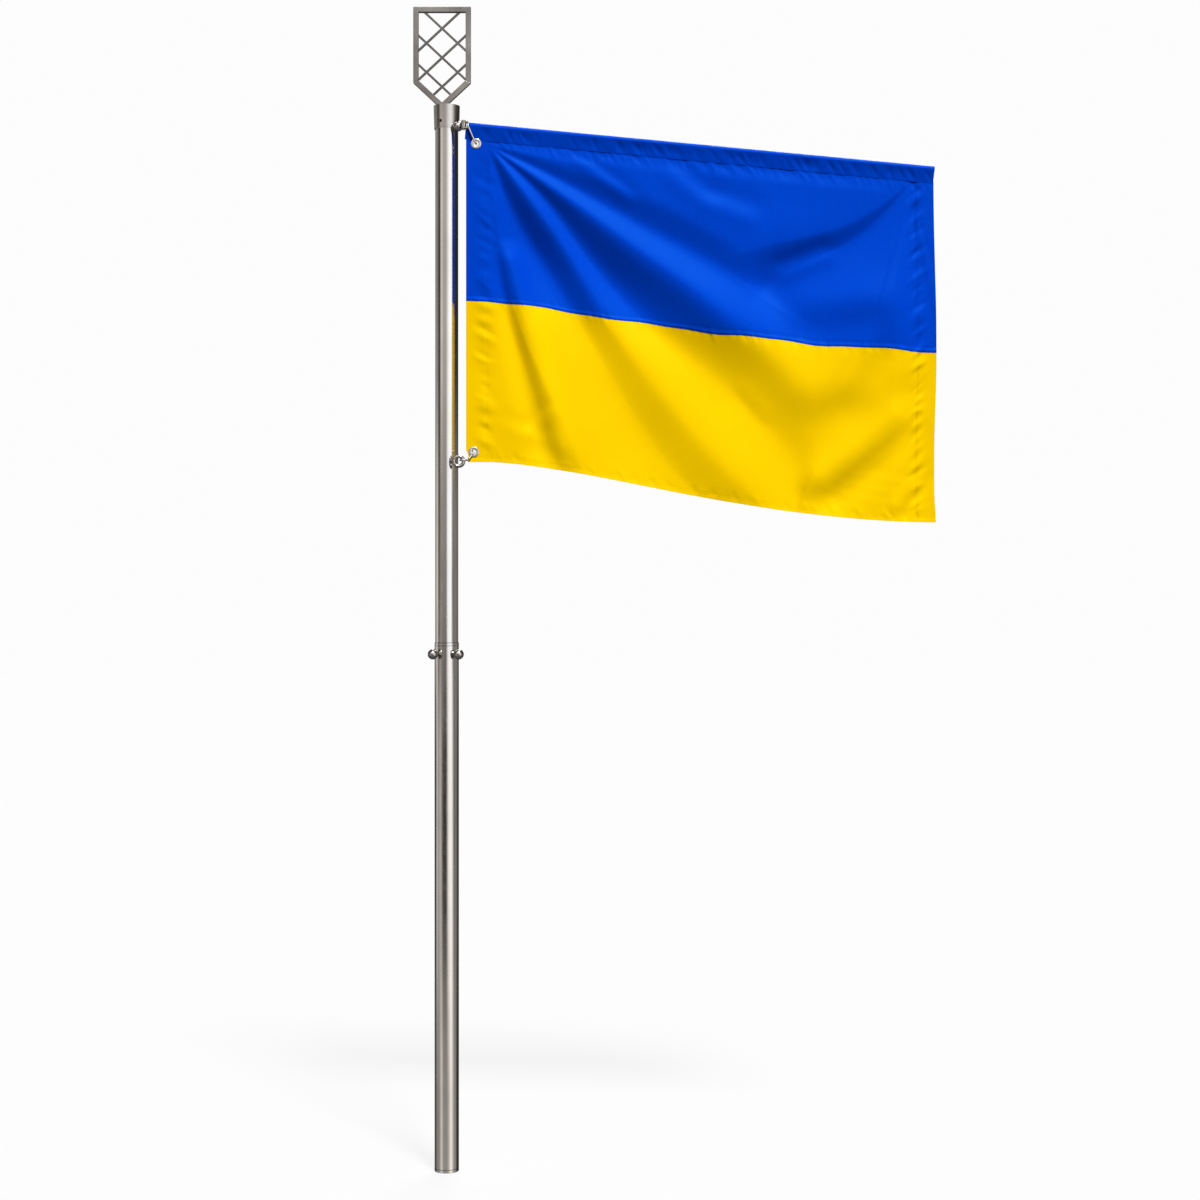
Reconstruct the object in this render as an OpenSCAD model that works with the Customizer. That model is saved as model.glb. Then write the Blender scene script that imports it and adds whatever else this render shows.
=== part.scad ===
// Telescopic display flagpole: two steel tubes, a welded shield finial and a
// two-band flag on a swinging crossbar.
// Origin: centre of the flat underside of the base cap. +Z up, +X along the
// crossbar, -Y towards the side that carries the clamp screws and fittings.

/* [Pole] */
// Outer diameter of the upper tube, which slides inside the lower one
upper_d = 60.3; // [48:0.1:76]
// Wall thickness of the upper tube
upper_wall = 1.5; // [1.2:0.1:3]
// Wall thickness of the lower tube
lower_wall = 1.5; // [1.2:0.1:3]
// Radial clearance of the sliding fit between the tubes
slide_clear = 0.1; // [0.05:0.01:0.1]
// Height of the lower tube's rim above the ground face
rim_z = 1378; // [1100:1:1700]
// Length of the upper tube that shows between the rim and the finial
upper_visible = 1394; // [1100:1:1700]
// Length of the upper tube inside the lower one
insertion = 220; // [150:1:300]
// Height of the turned band below the rim
rim_band = 8.5; // [4:0.5:15]
// Width and depth of the turned groove under that band
rim_groove = 0.6; // [0.3:0.1:0.8]
// Height of the base cap's visible disc
cap_h = 8; // [5:1:15]
// Depth of the base cap's spigot inside the lower tube
cap_spigot = 22; // [15:1:40]
// Chamfer on the base cap and on the rim
edge_chamfer = 0.8; // [0.3:0.1:1]

/* [Clamp screws] */
// Angle of each clamp screw either side of the pole's front
screw_spread = 42; // [35:1:60]
// Distance from the rim down to the clamp screws
screw_drop = 30; // [24:1:45]
// Diameter of each screw's shank
screw_d = 8; // [6:1:10]
// Diameter of each screw's ball head
knob_d = 27; // [22:1:32]
// Distance from the lower tube's surface out to the ball's centre
knob_standoff = 18.2; // [17:0.1:24]
// Diameter of the neck where it meets the tube
knob_neck_d = 11; // [9:0.5:14]

/* [Finial] */
// Height of the collar over the upper tube's end
collar_h = 60; // [45:1:80]
// Wall of the collar at its top
collar_wall_top = 4; // [3:0.1:6]
// Wall of the collar at its lower edge
collar_wall_low = 2.4; // [2:0.1:3]
// Thickness of the plate that closes the collar
collar_lid = 5; // [4:0.5:8]
// Clearance between the collar and the upper tube
collar_clear = 0.05; // [0.02:0.01:0.1]
// Distance from the collar's lower edge up to its set screw
set_screw_rise = 17; // [12:1:30]
// Diameter of the set screw
set_screw_d = 8; // [6:1:10]
// Angle of the set screw around the pole, from +X
set_screw_angle = -115; // [-140:1:-90]
// Overall width of the shield frame
shield_w = 150; // [120:1:180]
// Height of the shield's straight sides
shield_side_h = 198; // [150:1:240]
// Angle of the two lower bars from the horizontal
shield_v_angle = 43; // [35:1:50]
// Width of the frame bars, seen from the front
bar_face = 13.5; // [10:0.5:18]
// Depth of the frame bars, front to back
bar_depth = 15; // [10:1:20]
// Width of the thin lattice bars
lattice_bar = 5.5; // [4:0.5:8]
// Depth of the thin lattice bars
lattice_depth = 6; // [4:0.5:8]
// Spacing of parallel lattice bars up the shield
lattice_pitch = 76; // [60:1:100]
// Sideways offset of the shield from the pole's axis
shield_offset = -12; // [-15:1:15]

/* [Fittings] */
// Distance from the collar's lower edge up to the top stud
stud_rise = 1; // [0:1:20]
// Diameter of the top stud's ball
stud_ball_d = 26; // [20:1:27]
// Distance from the upper tube's surface to the ball's centre
stud_ball_standoff = 14.6; // [13:0.1:16]
// Distance from the upper tube's surface to the flag's swing axis
swing_standoff = 36; // [34:0.5:45]
// Angle of the swing axis around the pole, from +X
swing_angle = -45; // [-60:1:-30]
// Diameter of the stud's shank between ball and barrel
shank_d = 9; // [7:0.5:10]
// Outer diameter of the barrel at the end of the stud
barrel_d = 14; // [12:0.5:14]
// Height of the barrel
barrel_h = 12; // [10:0.5:14]
// Diameter of the hinge pin
pin_d = 7; // [5:0.5:8]
// Radial running clearance of the hinge pin
pin_clear = 0.05; // [0.02:0.01:0.1]
// Vertical running clearance between the barrel and the fork
fork_clear = 0.3; // [0.2:0.1:0.5]
// Thickness of the fork's two plates
fork_plate = 3.2; // [2.5:0.1:4]
// Distance from the flag's lower hoist corner up to the lower eye
eye_rise = 2; // [0:1:4]
// Diameter of the circle along the middle of the eye's wire
eye_ring_d = 25; // [22:1:32]
// Thickness of the eye's wire
eye_wire_d = 9.5; // [6:0.5:10]
// Diameter of the stub that carries the eye
eye_stub_d = 10; // [8:0.5:12]

/* [Flag] */
// Distance from the swing axis to the flag's hoist edge
hoist_gap = 6.5; // [6:0.5:9]
// Length of the flag from hoist to fly
flag_l = 1212; // [900:1:1500]
// Height of the flag at the hoist, without the rod pocket
flag_h = 835; // [700:1:1100]
// Extra drop of the flag's lower edge at the fly
fly_sag = 42; // [20:1:60]
// Share of the flag's height where the two bands meet
band_share = 0.5; // [0.4:0.01:0.6]
// Angle by which the crossbar droops
droop = 5.4; // [0:0.1:8]
// Diameter of the crossbar
rod_d = 14; // [12:0.5:16]
// Wall thickness of the crossbar
rod_wall = 1.5; // [1:0.1:2.5]
// Distance from the crossbar's axis down to the pocket's stitching
pocket_drop = 36; // [30:1:45]
// Thickness of the cloth
cloth = 1.5; // [1:0.1:3]
// Width of the hem along the hoist
hoist_hem = 56; // [50:1:70]
// Depth of the folds
fold_depth = 24; // [10:1:35]
// Angular pitch of the folds that run out from the top corner
fold_pitch = 25; // [18:1:40]
// Outer diameter of the grommets
grommet_d = 28; // [22:1:30]
// Hole diameter of the grommets
grommet_hole = 12; // [10:0.5:14]
// Distance from the hoist edge to the top grommet's centre
top_inset = 26; // [22:1:30]
// Distance from the hoist edge to the lower grommet's centre
lower_inset = 20; // [20:1:28]
// Diameter of the hook's and the link's wire
hook_wire_d = 4.4; // [3:0.1:5]

/* [Hidden] */
$fn = 48;

steel = "gray";
bright = "lightgray";
upper_cloth = "royalblue";
lower_cloth = "gold";

weld_gap = 0.05;
soft_gap = 0.3;

upper_r = upper_d / 2;
bore_r = upper_r + slide_clear;
lower_r = bore_r + lower_wall;
tube_top_z = rim_z + upper_visible;
collar_top_z = tube_top_z + collar_lid;
collar_low_z = collar_top_z - collar_h;
collar_bore_r = upper_r + collar_clear;
collar_r_top = collar_bore_r + collar_wall_top;
collar_r_low = collar_bore_r + collar_wall_low;
screw_z = rim_z - screw_drop;

half_w = shield_w / 2;
apex_cut = half_w * tan(shield_v_angle);
bar_rise = bar_face / cos(shield_v_angle);
apex_sink = bar_rise / 2;
apex_z = collar_top_z - apex_sink;
shoulder_z = apex_z + apex_cut;
shield_top_z = shoulder_z + shield_side_h;
inner_half_w = half_w - bar_face;
inner_apex_z = apex_z + bar_rise;
inner_shoulder_z = inner_apex_z + inner_half_w * tan(shield_v_angle);
inner_top_z = shield_top_z - bar_face;

stud_z = collar_low_z + stud_rise;
swing_r = upper_r + swing_standoff;
axis_x = swing_r * cos(swing_angle);
axis_y = swing_r * sin(swing_angle);
pin_r = pin_d / 2;
pin_bore_r = pin_r + pin_clear;
fork_low = barrel_h / 2 + fork_clear;
fork_high = fork_low + fork_plate;
fork_reach = barrel_d / 2 + 2;
fork_web = 4;
rod_start = fork_reach + fork_web;

hoist_x = axis_x + hoist_gap;
hem_x = hoist_x + hoist_hem;
fly_x = hoist_x + flag_l;
pocket_r = rod_d / 2 + 0.6 + 1.2;
grommet_r = grommet_d / 2;
top_grommet_x = hoist_x + top_inset;
top_grommet_z = pocket_z(top_grommet_x) - grommet_r + 6;
lower_grommet_x = hoist_x + lower_inset;
lower_grommet_z = hem_low_z(lower_grommet_x) + grommet_r + 12;
grommet_half = 2.5;
wire_r = hook_wire_d / 2;
wire_over = grommet_half + wire_r + soft_gap;
eye_z = hem_low_z(hoist_x) + eye_rise;
link_z = eye_z + 3;
link_loop_r = eye_wire_d / 2 + wire_r + 2;

// Height of the rod pocket's stitching at a distance x from the pole
function pocket_z(x) =
    stud_z - (x - axis_x) * tan(droop) - pocket_drop / cos(droop) - soft_gap;
// Smooth step from 0 at a to 1 at b
function ease(a, b, x) =
    let (t = min(1, max(0, (x - a) / (b - a)))) t * t * (3 - 2 * t);
// Height of the flag's lower edge
function hem_low_z(x) =
    pocket_z(hoist_x) - flag_h
    - (flag_l * tan(droop) + fly_sag)
      * ease(0, 1, pow(min(1, max(0, (x - hem_x) / (fly_x - hem_x))), 0.8));
// Height at a share of the way from the pocket down to the lower edge
function cloth_z(x, share) =
    pocket_z(x) + (hem_low_z(x) - pocket_z(x)) * share;
// Height of the seam between the bands
function seam_z(x) = cloth_z(x, band_share);
// How far the cloth stands out of its plane
function fold_y(x, z) =
    let (
        u = x - hem_x + 30,
        v = pocket_z(x) - z,
        reach = norm([u, v]),
        turn = atan2(v, u)
    )
    fold_depth * (1 - exp(-reach / 300)) * ease(0, 160, x - hem_x)
    * ease(0, 120, v) * cos(360 * (turn - 26) / fold_pitch);

// Places children at a height on the pole, their +Z pointing outwards
module radial(angle, z) {
    rotate([0, 0, angle]) translate([0, 0, z]) rotate([0, 90, 0]) children();
}

// A ring of round wire about the local Z axis
module wire_ring(ring_r, r) {
    rotate_extrude() translate([ring_r, 0]) circle(r = r);
}

// A straight round rod between two points
module rod_between(p, q, r) {
    v = q - p;
    translate(p)
        rotate([0, acos(v[2] / norm(v)), atan2(v[1], v[0])])
            cylinder(h = norm(v), r = r);
}

// A round wire bent through a list of points
module wire(points, r) {
    knuckle = 0.1;
    for (i = [0 : len(points) - 2])
        rod_between(points[i], points[i + 1], r);
    for (i = [1 : len(points) - 2])
        translate(points[i]) sphere(r = r + knuckle);
}

// The crossbar's own frame: +X along the drooping bar
module arm_frame() {
    translate([axis_x, axis_y, stud_z]) rotate([0, droop, 0]) children();
}

// ---- Lower section ----

module base_cap() {
    color(steel) union() {
        cylinder(h = edge_chamfer, r1 = lower_r - edge_chamfer, r2 = lower_r);
        translate([0, 0, edge_chamfer])
            cylinder(h = cap_h - edge_chamfer, r = lower_r);
        translate([0, 0, cap_h])
            cylinder(h = cap_spigot, r = bore_r - weld_gap);
    }
}

module screw_hole(angle) {
    radial(angle, screw_z) cylinder(h = lower_r + 5, r = screw_d / 2 + pin_clear);
}

module lower_tube() {
    color(steel) difference() {
        union() {
            translate([0, 0, cap_h])
                cylinder(h = rim_z - cap_h - edge_chamfer, r = lower_r);
            translate([0, 0, rim_z - edge_chamfer])
                cylinder(h = edge_chamfer, r1 = lower_r, r2 = lower_r - edge_chamfer);
        }
        translate([0, 0, cap_h - 1]) cylinder(h = rim_z, r = bore_r);
        translate([0, 0, rim_z - rim_band]) difference() {
            cylinder(h = rim_groove, r = lower_r + 1);
            translate([0, 0, -1])
                cylinder(h = rim_groove + 2, r = lower_r - rim_groove);
        }
        screw_hole(-90 - screw_spread);
        screw_hole(-90 + screw_spread);
    }
}

module clamp_screw(angle) {
    tip = upper_r + slide_clear + 0.1;
    neck = lower_r + soft_gap;
    ball = lower_r + knob_standoff;
    color(bright) radial(angle, screw_z) union() {
        translate([0, 0, tip]) cylinder(h = ball - tip, r = screw_d / 2);
        translate([0, 0, neck])
            cylinder(h = ball - neck, r1 = knob_neck_d / 2, r2 = knob_d * 0.48);
        translate([0, 0, ball]) sphere(d = knob_d);
    }
}

module clamp_screw_left() {
    clamp_screw(-90 - screw_spread);
}

module clamp_screw_right() {
    clamp_screw(-90 + screw_spread);
}

// ---- Upper section ----

module upper_tube() {
    color(steel) translate([0, 0, rim_z - insertion]) difference() {
        cylinder(h = insertion + upper_visible, r = upper_r);
        translate([0, 0, -1])
            cylinder(h = insertion + upper_visible + 2, r = upper_r - upper_wall);
    }
}

module finial_collar() {
    color(steel) difference() {
        translate([0, 0, collar_low_z])
            cylinder(h = collar_h, r1 = collar_r_low, r2 = collar_r_top);
        translate([0, 0, collar_low_z - 1])
            cylinder(h = collar_h - collar_lid + 1, r = collar_bore_r);
        radial(set_screw_angle, collar_low_z + set_screw_rise)
            cylinder(h = collar_r_top + 5, r = set_screw_d / 2 + collar_clear);
    }
}

module collar_set_screw() {
    seat = upper_r + weld_gap;
    socket_depth = 1.2;
    color("dimgray") radial(set_screw_angle, collar_low_z + set_screw_rise)
        difference() {
            translate([0, 0, seat])
                cylinder(h = collar_wall_low - 0.3, r = set_screw_d / 2);
            translate([0, 0, seat + collar_wall_low - 0.3 - socket_depth])
                cylinder(h = socket_depth + 1, d = set_screw_d / 2, $fn = 6);
        }
}

// Extrudes an outline drawn in the shield's plane
module in_shield(depth) {
    translate([shield_offset, depth / 2, 0]) rotate([90, 0, 0])
        linear_extrude(depth) children();
}

module finial_top_bar() {
    color(steel) in_shield(bar_depth) polygon([
        [-half_w, shield_top_z], [half_w, shield_top_z],
        [inner_half_w, inner_top_z], [-inner_half_w, inner_top_z]
    ]);
}

// One upright of the shield: side is -1 or 1
module upright(side) {
    color(steel) in_shield(bar_depth) polygon([
        [side * half_w, shield_top_z], [side * inner_half_w, inner_top_z],
        [side * inner_half_w, inner_shoulder_z], [side * half_w, shoulder_z]
    ]);
}

// One sloping bar, cut level where it stands on the collar
module sloping_bar(side) {
    foot_x = (collar_top_z - apex_z) / tan(shield_v_angle);
    color(steel) in_shield(bar_depth) polygon([
        [side * half_w, shoulder_z], [side * inner_half_w, inner_shoulder_z],
        [0, inner_apex_z], [0, collar_top_z], [side * foot_x, collar_top_z]
    ]);
}

module finial_left_bar() {
    upright(-1);
}

module finial_right_bar() {
    upright(1);
}

module finial_lower_left_bar() {
    sloping_bar(-1);
}

module finial_lower_right_bar() {
    sloping_bar(1);
}

// Diamond trellis of thin bars that fills the shield
module finial_lattice() {
    long = 4 * shield_w;
    mid_z = (inner_top_z + inner_apex_z) / 2;
    color(steel) in_shield(lattice_depth) intersection() {
        union() for (lean = [-1, 1], row = [-1 : 1])
            translate([0, mid_z + row * lattice_pitch])
                rotate(lean * shield_v_angle)
                    square([long, lattice_bar], center = true);
        polygon([
            [-inner_half_w, inner_top_z], [inner_half_w, inner_top_z],
            [inner_half_w, inner_shoulder_z], [0, inner_apex_z],
            [-inner_half_w, inner_shoulder_z]
        ]);
    }
}

module top_stud() {
    ball = upper_r + stud_ball_standoff;
    color(bright) difference() {
        union() {
            radial(swing_angle, stud_z) {
                translate([0, 0, upper_r - 3])
                    cylinder(h = ball - upper_r + 3, r1 = shank_d / 2, r2 = stud_ball_d * 0.46);
                translate([0, 0, ball]) sphere(d = stud_ball_d);
                translate([0, 0, ball]) cylinder(h = swing_r - ball, d = shank_d);
            }
            translate([axis_x, axis_y, stud_z])
                cylinder(h = barrel_h, d = barrel_d, center = true);
        }
        // the neck is saddled on the collar
        translate([0, 0, stud_z - stud_ball_d])
            cylinder(h = 2 * stud_ball_d, r = upper_r + weld_gap);
        translate([0, 0, collar_low_z])
            cylinder(h = collar_h, r1 = collar_r_low + weld_gap, r2 = collar_r_top + weld_gap);
        translate([axis_x, axis_y, stud_z - barrel_h])
            cylinder(h = 2 * barrel_h, r = pin_bore_r);
    }
}

module hinge_pin() {
    tail = 3;
    head_h = 3;
    head_r = pin_r + 2;
    color(bright) translate([axis_x, axis_y, stud_z]) union() {
        translate([0, 0, -fork_high - tail])
            cylinder(h = 2 * fork_high + tail + fork_clear + head_h, r = pin_r);
        translate([0, 0, fork_high + fork_clear]) cylinder(h = head_h, r = head_r);
    }
}

module lower_eye() {
    ring_r = eye_ring_d / 2;
    ring_x = axis_x - ring_r;
    stub_x = ring_x - ring_r;
    stub_reach = norm([stub_x, axis_y]);
    color(bright) difference() {
        union() {
            translate([ring_x, axis_y, eye_z]) rotate([90, 0, 0])
                wire_ring(ring_r, eye_wire_d / 2);
            radial(atan2(axis_y, stub_x), eye_z)
                translate([0, 0, upper_r - 3])
                    cylinder(h = stub_reach - upper_r + 3, d = eye_stub_d);
        }
        translate([0, 0, eye_z - eye_ring_d])
            cylinder(h = 2 * eye_ring_d, r = upper_r + weld_gap);
    }
}

// ---- Flag and crossbar ----

module crossbar_fork() {
    color(bright) translate([axis_x, axis_y, stud_z]) difference() {
        union() {
            for (z = [-fork_high, fork_low]) translate([0, 0, z]) {
                cylinder(h = fork_plate, d = barrel_d);
                translate([0, -barrel_d / 2, 0])
                    cube([rod_start, barrel_d, fork_plate]);
            }
            translate([fork_reach, -barrel_d / 2, -fork_high])
                cube([fork_web, barrel_d, 2 * fork_high]);
        }
        translate([0, 0, -2 * fork_high]) cylinder(h = 4 * fork_high, r = pin_bore_r);
    }
}

module crossbar() {
    rod_l = (fly_x - axis_x - rod_start) / cos(droop) - 4;
    color(steel) difference() {
        arm_frame() rotate([0, 90, 0]) translate([0, 0, rod_start - 2]) difference() {
            cylinder(h = rod_l + 2, d = rod_d);
            translate([0, 0, -1]) cylinder(h = rod_l + 4, d = rod_d - 2 * rod_wall);
        }
        // the end is cut square to the fork's web
        translate([axis_x, axis_y - rod_d, stud_z - rod_d])
            cube([rod_start + weld_gap, 2 * rod_d, 2 * rod_d]);
    }
}

module crossbar_end_cap() {
    plug = 12;
    disc = 3;
    rod_end = rod_start + (fly_x - axis_x - rod_start) / cos(droop) - 4;
    color("dimgray") arm_frame() rotate([0, 90, 0]) union() {
        translate([0, 0, rod_end]) cylinder(h = disc, d = rod_d);
        translate([0, 0, rod_end - plug])
            cylinder(h = plug, d = rod_d - 2 * rod_wall - 2 * weld_gap);
    }
}

// Teardrop outline of the rod pocket: an arc and its two tangents to the stitching
module pocket_outline(r, drop, tip) {
    steps = 24;
    lift = asin(r / drop);
    arc = [
        for (k = [0 : steps])
            let (a = -lift + (180 + 2 * lift) * k / steps)
            [r * cos(a), r * sin(a)]
    ];
    polygon(concat(arc, [[-tip, -drop], [tip, -drop]]));
}

// Places children on the cloth, their +Z pointing out of its front
module on_cloth(x, z) {
    translate([x, axis_y, z]) rotate([90, 0, 0]) children();
}

module grommet_room(x, z) {
    on_cloth(x, z) cylinder(h = 60, r = grommet_r + soft_gap, center = true);
}

module flag_rod_pocket() {
    start = hoist_gap;
    skin = 1.2;
    inner_r = pocket_r - skin;
    inner_drop = pocket_drop - 8;
    color(upper_cloth) difference() {
        arm_frame() translate([start, 0, 0]) rotate([90, 0, 90])
            linear_extrude(flag_l / cos(droop)) difference() {
                pocket_outline(pocket_r, pocket_drop, cloth / 2);
                pocket_outline(inner_r, inner_drop, soft_gap);
            }
        grommet_room(top_grommet_x, top_grommet_z);
        // room for the fork and the hook's foot
        translate([axis_x, axis_y - 2 * pocket_r, stud_z - fork_high - soft_gap])
            cube([rod_start + soft_gap, 4 * pocket_r, 3 * fork_high]);
    }
}

// Flat doubled cloth along the hoist between two heights at each end
module hoist_hem_plate(left, right) {
    translate([0, axis_y + cloth / 2, 0]) rotate([90, 0, 0])
        linear_extrude(cloth) polygon([
            [hoist_x, left[0]], [hem_x - soft_gap, right[0]],
            [hem_x - soft_gap, right[1]], [hoist_x, left[1]]
        ]);
}

module flag_upper_hoist_hem() {
    color(upper_cloth) difference() {
        hoist_hem_plate(
            [pocket_z(hoist_x), seam_z(hoist_x) + soft_gap],
            [pocket_z(hem_x), seam_z(hem_x) + soft_gap]
        );
        grommet_room(top_grommet_x, top_grommet_z);
    }
}

module flag_lower_hoist_hem() {
    color(lower_cloth) difference() {
        hoist_hem_plate(
            [seam_z(hoist_x), hem_low_z(hoist_x)],
            [seam_z(hem_x), hem_low_z(hem_x)]
        );
        grommet_room(lower_grommet_x, lower_grommet_z);
        // corner clipped clear of the link's loop
        translate([axis_x, axis_y, link_z - 20])
            cylinder(h = 20 + wire_r + 1, r = link_loop_r + wire_r + soft_gap);
    }
}

// A folded sheet between two shares of the flag's height, made as a closed
// shell of columns by rows of points, front layer then back layer
module folded_band(share_a, share_b, drop) {
    columns = 28;
    rows = 9;
    per_layer = (columns + 1) * (rows + 1);
    points = [
        for (layer = [-1, 1], i = [0 : columns], j = [0 : rows])
            let (
                x = hem_x + (fly_x - hem_x) * i / columns,
                share = share_a + (share_b - share_a) * j / rows,
                z = cloth_z(x, share) - (j == 0 ? drop : 0)
            )
            [x, axis_y + fold_y(x, z) + layer * cloth / 2, z]
    ];
    function at(layer, i, j) = layer * per_layer + i * (rows + 1) + j;
    front = [
        for (i = [0 : columns - 1], j = [0 : rows - 1])
            each [
                [at(0, i, j), at(0, i + 1, j), at(0, i + 1, j + 1)],
                [at(0, i, j), at(0, i + 1, j + 1), at(0, i, j + 1)]
            ]
    ];
    back = [
        for (i = [0 : columns - 1], j = [0 : rows - 1])
            each [
                [at(1, i, j), at(1, i + 1, j + 1), at(1, i + 1, j)],
                [at(1, i, j), at(1, i, j + 1), at(1, i + 1, j + 1)]
            ]
    ];
    long_edges = [
        for (i = [0 : columns - 1])
            each [
                [at(0, i, 0), at(1, i, 0), at(1, i + 1, 0)],
                [at(0, i, 0), at(1, i + 1, 0), at(0, i + 1, 0)],
                [at(0, i, rows), at(1, i + 1, rows), at(1, i, rows)],
                [at(0, i, rows), at(0, i + 1, rows), at(1, i + 1, rows)]
            ]
    ];
    short_edges = [
        for (j = [0 : rows - 1])
            each [
                [at(0, 0, j), at(0, 0, j + 1), at(1, 0, j + 1)],
                [at(0, 0, j), at(1, 0, j + 1), at(1, 0, j)],
                [at(0, columns, j), at(1, columns, j + 1), at(0, columns, j + 1)],
                [at(0, columns, j), at(1, columns, j), at(1, columns, j + 1)]
            ]
    ];
    polyhedron(points, concat(front, back, long_edges, short_edges));
}

module flag_upper_band() {
    color(upper_cloth) folded_band(0, band_share, 0);
}

module flag_lower_band() {
    color(lower_cloth) folded_band(band_share, 1, soft_gap);
}

// A rolled metal eyelet through the cloth
module grommet(x, z) {
    lip = grommet_half;
    color(bright) on_cloth(x, z) rotate_extrude() {
        translate([grommet_r - lip, 0]) circle(r = lip);
        translate([grommet_hole / 2 + lip, 0]) circle(r = lip);
        translate([grommet_hole / 2 + lip, -lip])
            square([grommet_r - grommet_hole / 2 - 2 * lip, 2 * lip]);
    }
}

module top_grommet() {
    grommet(top_grommet_x, top_grommet_z);
}

module lower_grommet() {
    grommet(lower_grommet_x, lower_grommet_z);
}

module top_hook() {
    web_x = axis_x + fork_reach + fork_web / 2;
    web_y = axis_y - barrel_d / 2 - weld_gap;
    front_y = axis_y - wire_over;
    back_y = axis_y + wire_over;
    color(bright) wire([
        [web_x, web_y, stud_z],
        [web_x, web_y - wire_r - 4.5, stud_z],
        [top_grommet_x - 5, front_y, top_grommet_z + 8],
        [top_grommet_x, front_y, top_grommet_z],
        [top_grommet_x, back_y, top_grommet_z],
        [top_grommet_x - 8, back_y, top_grommet_z + 8]
    ], wire_r);
}

module lower_link() {
    front_y = axis_y - wire_over;
    back_y = axis_y + wire_over;
    color(bright) union() {
        translate([axis_x, axis_y, link_z]) wire_ring(link_loop_r, wire_r);
        wire([
            [axis_x + link_loop_r * cos(30), axis_y - link_loop_r * sin(30), link_z],
            [axis_x + link_loop_r + 5, front_y - 2, link_z + 2],
            [lower_grommet_x - 6, front_y, lower_grommet_z - 8],
            [lower_grommet_x, front_y, lower_grommet_z - 1],
            [lower_grommet_x, back_y, lower_grommet_z - 1],
            [lower_grommet_x - 6, back_y, lower_grommet_z + 6]
        ], wire_r);
    }
}

base_cap();
lower_tube();
clamp_screw_left();
clamp_screw_right();
upper_tube();
finial_collar();
collar_set_screw();
finial_top_bar();
finial_left_bar();
finial_right_bar();
finial_lower_left_bar();
finial_lower_right_bar();
finial_lattice();
top_stud();
hinge_pin();
lower_eye();
crossbar_fork();
crossbar();
crossbar_end_cap();
flag_rod_pocket();
flag_upper_hoist_hem();
flag_lower_hoist_hem();
flag_upper_band();
flag_lower_band();
top_grommet();
lower_grommet();
top_hook();
lower_link();
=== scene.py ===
import math

import bpy
import numpy as np
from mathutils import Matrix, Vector


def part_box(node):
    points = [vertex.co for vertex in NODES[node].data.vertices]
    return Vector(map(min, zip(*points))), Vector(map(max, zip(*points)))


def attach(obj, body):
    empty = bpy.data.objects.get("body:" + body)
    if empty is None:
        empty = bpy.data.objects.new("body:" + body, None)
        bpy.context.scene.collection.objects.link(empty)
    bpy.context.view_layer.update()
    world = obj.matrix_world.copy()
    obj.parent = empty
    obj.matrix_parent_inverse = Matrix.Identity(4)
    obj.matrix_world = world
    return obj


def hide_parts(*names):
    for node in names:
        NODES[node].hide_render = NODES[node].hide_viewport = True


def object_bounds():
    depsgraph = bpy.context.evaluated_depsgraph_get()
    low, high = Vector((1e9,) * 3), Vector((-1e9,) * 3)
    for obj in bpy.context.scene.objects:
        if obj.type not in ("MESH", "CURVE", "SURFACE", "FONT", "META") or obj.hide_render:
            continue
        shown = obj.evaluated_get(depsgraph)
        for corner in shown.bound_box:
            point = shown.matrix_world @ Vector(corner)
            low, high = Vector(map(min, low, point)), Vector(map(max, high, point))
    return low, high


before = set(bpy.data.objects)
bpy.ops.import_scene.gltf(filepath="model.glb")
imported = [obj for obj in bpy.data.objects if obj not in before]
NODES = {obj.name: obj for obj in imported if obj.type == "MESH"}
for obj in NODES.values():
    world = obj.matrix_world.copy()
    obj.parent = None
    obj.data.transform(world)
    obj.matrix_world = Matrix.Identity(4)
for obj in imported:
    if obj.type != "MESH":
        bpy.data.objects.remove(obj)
CAD_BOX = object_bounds()
MM = 0.001

# ---- Places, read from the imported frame, in metres ----


def middle(node):
    low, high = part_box(node)
    return (low + high) / 2


PIN = middle("hinge_pin")
AXIS_X, AXIS_Y = PIN.x, PIN.y
STUD_Z = middle("crossbar_fork").z
HOIST_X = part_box("flag_upper_hoist_hem")[0].x
HEM_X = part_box("flag_upper_band")[0].x
FLY_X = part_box("flag_upper_band")[1].x
TOP_GROMMET = middle("top_grommet")
LOW_GROMMET = middle("lower_grommet")
GROMMET_R = (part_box("top_grommet")[1].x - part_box("top_grommet")[0].x) / 2
EYE = middle("lower_link")
RIM_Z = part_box("lower_tube")[1].z
CAP_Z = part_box("lower_tube")[0].z

# ---- The flag's cut ----

# The same values as the CAD source
DROOP = math.radians(5.4)
POCKET_DROP = 36 * MM
SOFT_GAP = 0.3 * MM
FLAG_H = 835 * MM
FLAG_L = 1212 * MM
FLY_SAG = 42 * MM
ROD_R = 7 * MM
# How thick the cloth is drawn, thinner than its CAD solids, and the holes for the eyelets
CLOTH = 0.45 * MM
EYELET_R = 9.5 * MM
# Widths of the turned hems and how far in each is sewn, in mm. Only the hoist hem's
# width is the CAD source's.
HOIST_HEM, HOIST_SEWN = 56, 54.5
FLY_HEM, FLY_SEWN, FLY_SEWN_AGAIN = 50, 48, 44.5
LOW_HEM, LOW_SEWN = 11, 9.5
SEAM_SEWN = 12
# How far the fly edge's bow reaches into the flag, in metres
BOW_REACH = 0.25


def ease(a, b, x):
    t = np.clip((x - a) / (b - a), 0, 1)
    return t * t * (3 - 2 * t)


def pocket_z(x):
    """Height of the stitching under the rod pocket."""
    return STUD_Z - (x - AXIS_X) * math.tan(DROOP) - POCKET_DROP / math.cos(DROOP) - SOFT_GAP


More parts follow.
